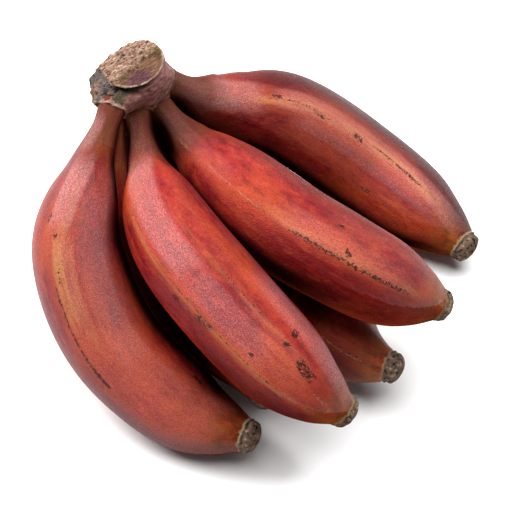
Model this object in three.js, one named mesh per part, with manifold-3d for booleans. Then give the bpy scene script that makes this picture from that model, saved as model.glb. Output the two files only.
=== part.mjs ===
// A hand of red bananas lying on its fingers: six fruits in two rows, joined at a woody crown.
// Millimetres, +Z up. The surface that the hand lies on is z = 0, and the origin is on it, under
// the middle of the hand. The crown is at -X +Y, and the fingers fan out and curve towards +X -Y.

import * as THREE from "three";
import { mergeVertices } from "three/addons/utils/BufferGeometryUtils.js";
import { ConvexGeometry } from "three/addons/geometries/ConvexGeometry.js";
import Module from "manifold-3d";

const wasm = await Module();
wasm.setup();

// ---- Driving dimensions ----

const handMiddle = new THREE.Vector3(2.968, -3.203, 0); // middle of the hand's plan, moved to the origin
const neckGap = 0.3; // from the crown to the end of each neck
const ridgeCount = 5; // a banana is a rounded pentagon across
const ridgeHeight = 0.03; // of the radius
const sectionSides = 20; // four to each ridge
const ringCount = 26; // rings along a finger
const weldDistance = 1e-4; // corners this close are one corner
const sliverLimit = 0.003; // faces thinner than this are taken into their neighbours
const halvings = 30; // of the outline, to find the place of a ring on it
const skinRed = 0x9a3328;
const skinShade = 0x7f2a24;
const barkBrown = 0x8a6a4c;

// How thick a finger is along its length, as fractions of its length and of its belly radius.
const thickness = [
  [0.0, 0.3], // where the neck leaves the crown
  [0.06, 0.28], // the slimmest part of the neck
  [0.14, 0.43],
  [0.23, 0.745], // shoulder
  [0.34, 0.93],
  [0.5, 1.0], // belly
  [0.68, 0.985],
  [0.8, 0.905],
  [0.9, 0.625], // taper
  [0.96, 0.38], // rim of the dried blossom end
  [0.985, 0.33],
  [1.0, 0.23],
];

const neckBulge = 0.12; // of the length, where a stout neck differs most from that outline
const neckReach = 0.12; // of the length, from there to where it no longer differs

// Each finger: its belly radius, how stout its neck is, how far its ridges are turned round it,
// in degrees, and its centre line from the crown to the blossom end. Upper fingers lie on the
// lower ones.
const fingers = {
  upper_finger_1: {
    radius: 20.6,
    neck: 1.1,
    turn: 10,
    spine: [
      [-60, 36.5, 92], [-69.2, 10, 79.5], [-74.5, -14.5, 58],
      [-60, -42, 32], [-29.7, -65.7, 17], [1.1, -81.2, 18.6],
    ],
  },
  upper_finger_2: {
    radius: 20.4,
    neck: 1.04,
    turn: 60,
    spine: [
      [-50, 40.5, 83.5], [-45.5, 17, 74], [-33, -16.5, 72.5],
      [-9.5, -50, 70.5], [17.8, -75.1, 58.6], [38.6, -83.2, 42.4],
    ],
  },
  upper_finger_3: {
    radius: 20,
    neck: 1.28,
    turn: 39,
    spine: [
      [-41.8, 48.3, 79], [-24.7, 32, 67.8], [8.8, -5.5, 70],
      [31, -21.1, 67.6], [56.5, -29.5, 56.5], [81, -30.5, 41],
    ],
  },
  upper_finger_4: {
    radius: 20.6,
    neck: 1.56,
    turn: 22,
    spine: [
      [-38.3, 58.8, 81.6], [-21, 59.5, 67.3], [13, 66.5, 48],
      [49, 56.5, 23.2], [79.0, 31.8, 16.9], [97.0, 14.8, 15.4],
    ],
  },
  lower_finger_1: {
    radius: 19.8,
    neck: 1.39,
    turn: 5,
    spine: [
      [-55, 47.7, 73], [-52.6, 35.6, 60], [-41.9, 15, 29.8],
      [-25.5, -12.3, 19.6], [-3.3, -41.1, 22], [6.2, -68.4, 26.6],
    ],
  },
  lower_finger_2: {
    radius: 19.8,
    neck: 1.08,
    turn: 38,
    spine: [
      [-48.3, 57.3, 69.4], [-24.1, 44.4, 41.2], [1.5, 26.8, 21.8],
      [21.5, -8.5, 20.1], [41.3, -38.8, 22.3], [61.4, -52.1, 25.2],
    ],
  },
};

// The crown's cut face: its middle, the way it faces, its long way, and its outline in that plane.
// The crown is a drum of the face's outline down to its waist, where the webs to the necks start,
// with the scar of a dried bract beside the first neck, drawn tight round two balls.
const cutMiddle = new THREE.Vector3(-52.5, 50.5, 102.5);
const cutFacing = new THREE.Vector3(-0.35, 0.08, 0.93).normalize();
const cutAlong = new THREE.Vector3(0.86, 0.43, 0.29);
const cutOutline = [
  [-15.5, 8], [-7, 12], [3, 13.5], [11, 9.5], [14.5, -0.5],
  [11.5, -10.5], [3.5, -15], [-5, -12], [-11, -4],
];
const outlineSteps = 27; // points round the face, on a smooth curve through its outline
const drumDepth = 7;
const waistScale = 0.92; // of the face
const scarBalls = [
  { radius: 6.9, middle: [-62.4, 42.6, 92.8] },
  { radius: 4.6, middle: [-65.2, 49.8, 93.2] },
];
const scarSegments = [16, 12]; // round each ball, and from top to bottom

// Necks that grow side by side, with crown between them.
const neighbours = [
  ["upper_finger_1", "upper_finger_2"],
  ["upper_finger_2", "upper_finger_3"],
  ["upper_finger_3", "upper_finger_4"],
  ["lower_finger_1", "lower_finger_2"],
  ["upper_finger_2", "lower_finger_1"],
  ["upper_finger_3", "lower_finger_2"],
];

// ---- Helpers ----

function toSolid(geometry) {
  const bare = geometry.clone();
  bare.deleteAttribute("normal");
  bare.deleteAttribute("uv");
  const merged = mergeVertices(bare, weldDistance);
  const vertProperties = Float32Array.from(merged.attributes.position.array);
  const triVerts = Uint32Array.from(merged.index.array);
  const mesh = new wasm.Mesh({ numProp: 3, vertProperties, triVerts });
  return new wasm.Manifold(mesh);
}

function toGeometry(solid) {
  const mesh = solid.getMesh();
  const corners = new THREE.BufferAttribute(Float32Array.from(mesh.vertProperties), mesh.numProp);
  const faces = new THREE.BufferAttribute(Uint32Array.from(mesh.triVerts), 1);
  const geometry = new THREE.BufferGeometry();
  geometry.setAttribute("position", corners);
  geometry.setIndex(faces);
  geometry.computeVertexNormals();
  return geometry;
}

function part(name, solid, color, roughness) {
  const material = new THREE.MeshStandardMaterial({ color, roughness, metalness: 0 });
  const mesh = new THREE.Mesh(toGeometry(solid), material);
  mesh.name = name;
  return mesh;
}

function spineCurve(finger) {
  const points = finger.spine.map((p) => new THREE.Vector3(...p));
  return new THREE.CatmullRomCurve3(points, false, "catmullrom", 0.5);
}

// The upright direction across the spine at its root, carried along it without twisting.
function carriedFrames(curve, count) {
  const frames = [];
  let upright = new THREE.Vector3(0, 0, 1);
  for (let i = 0; i <= count; i += 1) {
    const along = curve.getTangentAt(i / count);
    upright = upright.clone().addScaledVector(along, -upright.dot(along)).normalize();
    const across = along.clone().cross(upright);
    frames.push({ middle: curve.getPointAt(i / count), along, upright, across });
  }
  return frames;
}

// ---- Fingers ----

const outline = new THREE.SplineCurve(thickness.map((p) => new THREE.Vector2(p[1], p[0])));

// A straight fruit turned about its axis, then bent so that the axis follows the spine. With
// clearance it is the room that the fruit needs: fatter by that much, and reaching to its root.
function fingerSolid(finger, clearance = 0) {
  const curve = spineCurve(finger);
  const frames = carriedFrames(curve, ringCount);
  const profile = [new THREE.Vector2(0, 0)];
  for (let ring = 0; ring <= ringCount; ring += 1) {
    const radius = radiusAt(finger, ring / ringCount) + clearance;
    profile.push(new THREE.Vector2(radius, ring));
  }
  profile.push(new THREE.Vector2(0, ringCount));
  const geometry = new THREE.LatheGeometry(profile, sectionSides);
  const position = geometry.attributes.position;
  const turn = THREE.MathUtils.degToRad(finger.turn);
  for (let v = 0; v < position.count; v += 1) {
    const ring = Math.round(position.getY(v));
    const frame = frames[ring];
    const radius = Math.hypot(position.getX(v), position.getZ(v));
    const angle = Math.atan2(position.getX(v), position.getZ(v));
    const ridged = radius * (1 + ridgeHeight * Math.cos(ridgeCount * angle));
    const point = frame.middle.clone();
    point.addScaledVector(frame.upright, ridged * Math.cos(angle + turn));
    point.addScaledVector(frame.across, ridged * Math.sin(angle + turn));
    if (ring === 0) point.addScaledVector(frame.along, neckGap - clearance);
    point.z = Math.max(point.z, 0); // the fruit is pressed flat where it bears on the surface
    position.setXYZ(v, point.x, point.y, point.z);
  }
  return toSolid(geometry);
}

// How thick a finger is at a fraction of its length.
function radiusAt(finger, fraction) {
  let low = 0;
  let high = 1;
  for (let step = 0; step < halvings; step += 1) {
    const middle = (low + high) / 2;
    if (outline.getPoint(middle).y < fraction) low = middle;
    else high = middle;
  }
  const off = Math.min(Math.abs(fraction - neckBulge) / neckReach, 1);
  const swell = fraction < neckBulge ? (1 - off ** 2) ** 2 : (1 - off) ** 1.5;
  return finger.radius * outline.getPoint(low).x * (1 + (finger.neck - 1) * swell);
}

// ---- Crown ----

// The stub of stalk that all the necks grow from. Webs fill the corners between roots that are
// next to each other, and each neck keeps its own room.
function crownSolid() {
  const face = faceRing(0, 1);
  const waist = faceRing(drumDepth, waistScale);
  const drum = toSolid(new ConvexGeometry([...face, ...waist]));
  const scar = toSolid(new ConvexGeometry(scarBalls.flatMap(ballPoints)));
  let stub = drum.add(scar);
  for (const pair of neighbours) {
    const roots = pair.flatMap((name) => rootRing(fingers[name]));
    stub = stub.add(toSolid(new ConvexGeometry([...waist, ...roots])));
  }
  for (const finger of Object.values(fingers)) {
    stub = stub.subtract(fingerSolid(finger, neckGap));
  }
  return stub.simplify(sliverLimit);
}

// The cut face's outline, moved down into the crown by depth and drawn in by scale.
function faceRing(depth, scale) {
  const along = cutAlong.clone().addScaledVector(cutFacing, -cutAlong.dot(cutFacing)).normalize();
  const across = cutFacing.clone().cross(along);
  const corners = cutOutline.map(([a, b]) => new THREE.Vector3(a, b, 0));
  const outline = new THREE.CatmullRomCurve3(corners, true).getSpacedPoints(outlineSteps);
  outline.pop();
  return outline.map((corner) => {
    const point = cutMiddle.clone().addScaledVector(cutFacing, -depth);
    return point.addScaledVector(along, scale * corner.x).addScaledVector(across, scale * corner.y);
  });
}

function ballPoints(ball) {
  const geometry = new THREE.SphereGeometry(ball.radius, ...scarSegments).translate(...ball.middle);
  const position = geometry.attributes.position;
  const points = [];
  for (let v = 0; v < position.count; v += 1) {
    points.push(new THREE.Vector3().fromBufferAttribute(position, v));
  }
  return points;
}

function rootRing(finger) {
  const frame = carriedFrames(spineCurve(finger), ringCount)[0];
  const radius = radiusAt(finger, 0);
  const ring = [];
  for (let side = 0; side < sectionSides; side += 1) {
    const angle = (2 * Math.PI * side) / sectionSides;
    const point = frame.middle.clone();
    point.addScaledVector(frame.upright, radius * Math.cos(angle));
    point.addScaledVector(frame.across, radius * Math.sin(angle));
    ring.push(point);
  }
  return ring;
}

// ---- The hand ----

const hand = new THREE.Group();
hand.add(part("crown", crownSolid(), barkBrown, 0.85));
for (const [name, finger] of Object.entries(fingers)) {
  const color = name.startsWith("upper") ? skinRed : skinShade;
  hand.add(part(name, fingerSolid(finger), color, 0.45));
}
hand.position.copy(handMiddle).negate();

export default hand;
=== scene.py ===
# %% [markdown]
# # A hand of red bananas
# Six red bananas lie on their fingers, still joined at the crown that they were cut by. Each
# fruit is one skin from its neck to its dried blossom end. This lesson builds the fruits and the
# crown with bmesh operators, and gives each a finish made of nodes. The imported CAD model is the
# fixed frame: it says where everything is.

# %% Load the frame
import math
from collections import namedtuple

import bmesh
import bpy
from mathutils import Matrix, Vector, noise
from mathutils.kdtree import KDTree


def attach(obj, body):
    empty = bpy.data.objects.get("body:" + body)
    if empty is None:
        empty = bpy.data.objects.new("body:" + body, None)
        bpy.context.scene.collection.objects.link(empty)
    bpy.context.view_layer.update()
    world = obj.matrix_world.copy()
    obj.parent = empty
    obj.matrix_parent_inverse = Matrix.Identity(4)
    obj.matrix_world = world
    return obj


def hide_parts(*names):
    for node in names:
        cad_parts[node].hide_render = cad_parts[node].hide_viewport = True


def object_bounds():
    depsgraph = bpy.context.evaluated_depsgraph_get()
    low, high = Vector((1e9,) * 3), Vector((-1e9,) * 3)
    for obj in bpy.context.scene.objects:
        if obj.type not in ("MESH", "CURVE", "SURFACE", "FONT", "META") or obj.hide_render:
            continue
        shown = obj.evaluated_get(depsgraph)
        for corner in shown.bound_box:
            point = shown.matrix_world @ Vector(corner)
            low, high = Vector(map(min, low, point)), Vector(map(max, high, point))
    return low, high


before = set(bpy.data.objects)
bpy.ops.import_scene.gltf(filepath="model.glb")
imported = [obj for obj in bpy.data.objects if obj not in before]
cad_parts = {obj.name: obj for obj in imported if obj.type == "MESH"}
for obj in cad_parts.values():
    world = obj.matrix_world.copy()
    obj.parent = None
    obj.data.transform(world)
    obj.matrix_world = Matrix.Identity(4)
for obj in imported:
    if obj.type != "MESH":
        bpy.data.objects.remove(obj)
cad_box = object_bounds()


def rounded(box):
    """The two corners of a box, short enough to print."""
    return [[round(value, 4) for value in corner] for corner in box]


print("CAD box, in metres:", rounded(cad_box))

# %% [markdown]
# ## Camera
# A long lens from well above flattens the hand and shows every finger from neck to tip. The
# camera is placed by its height angle and its distance from a point inside the hand, because
# those two are easier to judge than three coordinates.

# %% Place the camera
view_target = Vector((-0.00305, 0.00315, 0.035))
view_elevation = math.radians(56)
view_distance = 0.74

lens = bpy.data.cameras.new("studio_camera")
lens.lens = 120
lens.sensor_width = 36
camera = bpy.data.objects.new("studio_camera", lens)
bpy.context.collection.objects.link(camera)
toward_camera = Vector((0, -math.cos(view_elevation), math.sin(view_elevation)))
camera.location = view_target + toward_camera * view_distance
camera.rotation_euler = toward_camera.to_track_quat("Z", "Y").to_euler()
bpy.context.scene.camera = camera
print("camera at", [round(value, 3) for value in camera.location])

# %% [markdown]
# ## Floor
# Fruit is shown on a pale sweep. One large plane does for it, because its edges stay far outside
# the view. It is bright and has almost no shine, so that it comes out white and only the contact
# shadow under the fingers shows.

# %% Lay the floor
floor_reach = 3  # metres from the middle to each side
floor_white = (0.84, 0.84, 0.84, 1)


def link_object(name, mesh):
    """Put a mesh in the scene as a piece of its own."""
    piece = bpy.data.objects.new(name, mesh)
    bpy.context.collection.objects.link(piece)
    return piece


def floor_paint():
    paint = bpy.data.materials.new("white_sweep")
    paint.use_nodes = True
    shader = paint.node_tree.nodes["Principled BSDF"]
    shader.inputs["Base Color"].default_value = floor_white
    shader.inputs["Roughness"].default_value = 0.9
    shader.inputs["Specular IOR Level"].default_value = 0.1
    return paint


sweep = bmesh.new()
bmesh.ops.create_grid(sweep, x_segments=1, y_segments=1, size=floor_reach)
floor_mesh = bpy.data.meshes.new("floor")
sweep.to_mesh(floor_mesh)
sweep.free()
floor_mesh.materials.append(floor_paint())
floor = link_object("floor", floor_mesh)
print("the floor reaches", floor_reach, "metres each way")

# %% [markdown]
# ## Light
# Two big soft boxes light the fruit: one from the left and a little behind, for the sheen on the
# shoulders, and one overhead, which brings out the floor. They are disks, because those give waxy
# skin round highlights with soft edges. The air round them is dim, so the gaps between the
# fingers stay deep.

# %% Hang the lights
air_strength = 0.12


def soft_box(name, direction, distance, size, power):
    """Hang a round lamp, so many metres wide and away, that faces the hand."""
    lamp = bpy.data.lights.new(name, "AREA")
    lamp.shape = "DISK"
    lamp.size = size
    lamp.energy = power
    box = bpy.data.objects.new(name, lamp)
    bpy.context.collection.objects.link(box)
    aim = Vector(direction).normalized()
    box.location = aim * distance
    box.rotation_euler = aim.to_track_quat("Z", "Y").to_euler()


soft_box("key_light", (-0.66, 0.3, 0.69), distance=1.5, size=0.9, power=36)
soft_box("top_light", (0.12, 0.16, 1), distance=1.4, size=1.5, power=44)

world = bpy.data.worlds.new("studio_air")
world.use_nodes = True
world.node_tree.nodes["Background"].inputs["Color"].default_value = (1, 1, 1, 1)
world.node_tree.nodes["Background"].inputs["Strength"].default_value = air_strength
bpy.context.scene.world = world
bpy.context.scene.view_settings.view_transform = "Standard"
print("lights:", [lamp.name for lamp in bpy.data.lights])

# %% [markdown]
# ## The line that each finger follows
# A banana is a straight fruit bent along a curve. The curve is a smooth one through six points
# from the crown to the blossom end, the same six that the CAD model uses. The points are in
# millimetres from the place where the hand was laid out, and `hand_middle` moves them to the
# frame's origin. A Catmull-Rom curve is chosen because it passes through its points.

# %% Smooth curves
MM = 0.001
hand_middle = Vector((2.968, -3.203, 0))


def smooth_path(points, steps):
    """Points along a Catmull-Rom curve, with steps of them to each span."""
    points = [Vector(point) for point in points]
    ends = [points[0] * 2 - points[1], *points, points[-1] * 2 - points[-2]]
    path = []
    for before, start, end, after in zip(ends, ends[1:], ends[2:], ends[3:]):
        for step in range(steps):
            t = step / steps
            rise = (end - before) * t
            sag = (before * 2 - start * 5 + end * 4 - after) * t ** 2
            twist = (start * 3 - before - end * 3 + after) * t ** 3
            path.append((start * 2 + rise + sag + twist) / 2)
    path.append(points[-1])
    return path


def pick(path, places, place):
    """The point of a path at a place, between the two nearest of its places."""
    after = next((i for i, p in enumerate(places) if p >= place), len(places) - 1)
    after = max(after, 1)
    share = (place - places[after - 1]) / (places[after] - places[after - 1])
    return path[after - 1].lerp(path[after], share)


arch = smooth_path([(0, 0, 0), (1, 1, 0), (2, 0, 0)], 2)
print("heights along an arch of three points:", [round(point.y, 2) for point in arch])


# %% [markdown]
# ## Frames along the line
# To bend the straight fruit, each place along the line needs two directions across it. They
# start upright and are carried along, corrected a little at each step, so that the fruit bends
# without twisting. The line is sampled every millimetre or so, and a place past its first point
# is on its straight extension, because the neck is rooted a little inside the crown.

# %% Carry the frames
spine_steps = 40  # to each span of a finger's line


class Spine:
    """The bent centre line of a fruit, with its length and its directions across."""

    def __init__(self, points):
        path = smooth_path(points, spine_steps)
        self.middles = [(point - hand_middle) * MM for point in path]
        self.places = [0.0]
        for start, end in zip(self.middles, self.middles[1:]):
            self.places.append(self.places[-1] + (end - start).length)
        self.length = self.places[-1]
        self.alongs = []
        self.uprights = []
        upright = Vector((0, 0, 1))
        for i in range(len(path)):
            ahead = self.middles[min(i + 1, len(path) - 1)]
            along = (ahead - self.middles[max(i - 1, 0)]).normalized()
            upright = (upright - along * upright.dot(along)).normalized()
            self.alongs.append(along)
            self.uprights.append(upright)

    def at(self, place):
        """The middle and the directions along, upright and across, at a place in metres."""
        inside = min(max(place, 0), self.length)
        middle = pick(self.middles, self.places, inside)
        along = pick(self.alongs, self.places, inside).normalized()
        upright = pick(self.uprights, self.places, inside).normalized()
        return middle + along * (place - inside), along, upright, along.cross(upright)


# %% [markdown]
# ## Six lines
# Each fruit grew round its neighbours, so each has its own line, and the points are placed one
# by one. Beside them stand the belly's radius in millimetres, how stout the neck is against the
# plain outline, how far the ridges are turned in degrees, and where the cream seam round the root
# lies, in millimetres along the neck. Two necks hide theirs.

# %% Place the six lines
no_seam = 99  # further along the neck than the crown reaches
fingers = {
    "upper_finger_1": {
        "radius": 20.6, "neck": 1.1, "turn": 14, "seam": 0.2,
        "spine": [(-60, 36.5, 92), (-69.2, 10, 79.5), (-74.5, -14.5, 58),
                  (-60, -42, 32), (-29.7, -65.7, 17), (1.1, -81.2, 18.6)],
    },
    "upper_finger_2": {
        "radius": 20.4, "neck": 1.04, "turn": 48, "seam": -1.2,
        "spine": [(-50, 40.5, 83.5), (-45.5, 17, 74), (-33, -16.5, 72.5),
                  (-9.5, -50, 70.5), (17.8, -75.1, 58.6), (38.6, -83.2, 42.4)],
    },
    "upper_finger_3": {
        "radius": 20, "neck": 1.28, "turn": 31, "seam": -2.4,
        "spine": [(-41.8, 48.3, 79), (-24.7, 32, 67.8), (8.8, -5.5, 70),
                  (31, -21.1, 67.6), (56.5, -29.5, 56.5), (81, -30.5, 41)],
    },
    "upper_finger_4": {
        "radius": 20.6, "neck": 1.56, "turn": 25, "seam": -2.4,
        "spine": [(-38.3, 58.8, 81.6), (-21, 59.5, 67.3), (13, 66.5, 48),
                  (49, 56.5, 23.2), (79, 31.8, 16.9), (97, 14.8, 15.4)],
    },
    "lower_finger_1": {
        "radius": 19.8, "neck": 1.5, "turn": 5, "seam": no_seam,
        "spine": [(-55, 47.7, 73), (-52.6, 35.6, 60), (-41.9, 15, 29.8),
                  (-25.5, -12.3, 19.6), (-3.3, -41.1, 22), (6.2, -68.4, 26.6)],
    },
    "lower_finger_2": {
        "radius": 19.8, "neck": 1.3, "turn": 55, "seam": no_seam,
        "spine": [(-48.3, 57.3, 69.4), (-24.1, 44.4, 41.2), (1.5, 26.8, 21.8),
                  (21.5, -8.5, 20.1), (41.3, -38.8, 22.3), (61.4, -52.1, 25.2)],
    },
}
for name, finger in fingers.items():
    finger["line"] = Spine(finger["spine"])
    print(name, "is", round(finger["line"].length / MM), "mm along its curve")


# %% [markdown]
# ## The outline of a straight fruit
# Seen from the side, a red banana is a slim neck, a quick shoulder, a long full belly and a taper
# to the blossom end. The outline is a smooth curve through a few points, given as fractions of
# the length and of the belly's radius. The last seven millimetres are drawn point by point: the
# skin ends in a thin raised lip, and past it the dried blossom sits like a cork with a hollow in
# its end.

# %% Draw the outline
thickness = [
    (0.0, 0.3), (0.06, 0.28), (0.14, 0.43), (0.23, 0.745), (0.34, 0.93), (0.5, 1.0),
    (0.68, 0.985), (0.8, 0.905), (0.9, 0.625), (0.96, 0.38), (0.985, 0.33), (1.0, 0.23),
]
neck_bulge = 0.12  # of the length, where a stout neck differs most from that outline
neck_reach = 0.12  # of the length, from there to where it no longer differs
root_depth = 2.5  # of the neck inside the crown
cork_length = 5.6  # from the skin's lip to the end of the dried blossom
cork_belly = 20  # the belly radius that the cork's outline is drawn for
lip_gap = 0.6  # from the plain skin to the lip's first point
cork_outline = [  # distance from the end and radius
    (6.9, 7.25), (6.4, 7.05), (6.05, 7.1), (5.8, 7.35), (5.55, 7.35), (5.3, 7.0), (5.0, 6.75),
    (4.5, 6.85), (4.0, 6.95), (3.4, 6.9), (2.8, 6.65), (2.2, 6.25), (1.7, 5.7), (1.2, 4.95),
    (0.8, 4.1), (0.55, 3.3), (0.5, 2.6), (0.7, 2.0), (1.2, 1.4), (1.5, 0.8), (1.6, 0.0),
]
skin_steps = 150
curve_steps = 24

thickness_curve = smooth_path([(share, size, 0) for share, size in thickness], curve_steps)
thickness_shares = [point.x for point in thickness_curve]


def radius_at(finger, share):
    """The radius at a share of the length, in millimetres, with the neck's own stoutness."""
    off = min(abs(share - neck_bulge) / neck_reach, 1)
    swell = (1 - off ** 2) ** 2 if share < neck_bulge else (1 - off) ** 1.5
    size = pick(thickness_curve, thickness_shares, share).y
    return finger["radius"] * size * (1 + (finger["neck"] - 1) * swell)


def fruit_outline(finger):
    """Radius and place along the axis, in millimetres, from the root to the blossom end."""
    length = finger["line"].length / MM
    outline = [(0, -root_depth), (radius_at(finger, 0), -root_depth)]
    last = length - cork_outline[0][0] - lip_gap
    for step in range(skin_steps + 1):
        place = last * step / skin_steps
        outline.append((radius_at(finger, place / length), place))
    for from_end, size in cork_outline:
        outline.append((size * finger["radius"] / cork_belly, length - from_end))
    return outline


print("an outline has", len(fruit_outline(fingers["upper_finger_1"])), "points")

# %% [markdown]
# ## Ridges and small irregularities
# Across, a banana is a pentagon with soft corners. The corners are rounder on the belly and
# sharper towards both ends. A straight-sided pentagon is worked out from the angle to the
# nearest corner, and only a share of it is mixed with the circle. Slow noise then makes the
# sides a little uneven, as on any fruit that grew pressed against its neighbours.

# %% Shape across
ridge_count = 5
sector = 2 * math.pi / ridge_count
ridge_height = 1.03  # of the radius, as in the CAD model
skin_inset = 0.16  # millimetres, keeps the smooth skin inside the CAD model's flats
soft_corner, sharper_ends = 7, 3  # degrees that a corner is rounded by, and less at the ends
pentagon_share, more_at_ends = 0.36, 0.08  # the rest of the shape is the circle
round_from, round_over = 0.955, 0.03  # of the length, where the ridges end at the lip


def corner_angle(angle):
    """How far an angle is from the nearest ridge."""
    return abs((angle + sector / 2) % sector - sector / 2)


def across_shape(angle, share):
    """The radius at an angle, as a part of the full radius, at a share of the length."""
    ends = abs(2 * share - 1) ** 3
    softness = math.radians(soft_corner - sharper_ends * ends)
    pentagon = pentagon_share + more_at_ends * ends
    if share > round_from:
        pentagon *= max(0.0, 1 - (share - round_from) / round_over)
    half = sector / 2
    rounded = math.hypot(corner_angle(angle), softness)
    straight = math.cos(half - softness) / math.cos(half - min(rounded, half))
    return ridge_height * (1 + pentagon * (straight - 1))


def bumps(x, y, place, seed, across, along):
    """Noise from -1 to 1, its bumps so many millimetres across and along the fruit."""
    return noise.noise(Vector((x / across, y / across, place / along + seed)))


def unevenness(x, y, place, seed):
    """Slow bumps on the skin, in millimetres."""
    slow = bumps(x, y, place, seed, 16, 30)
    quick = bumps(x, y, place, seed, 6, 12)
    return 0.25 * slow + 0.06 * quick - 0.05


def cork_relief(x, y, place, seed):
    """Lumps and pits of the dried blossom, in millimetres."""
    lumps = bumps(x, y, place, seed, 2.2, 2.2)
    pits = bumps(x, y, place, seed, 1.1, 1.1)
    return 0.45 * lumps - 0.5 * max(0, pits) ** 0.7 - 0.1
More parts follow.
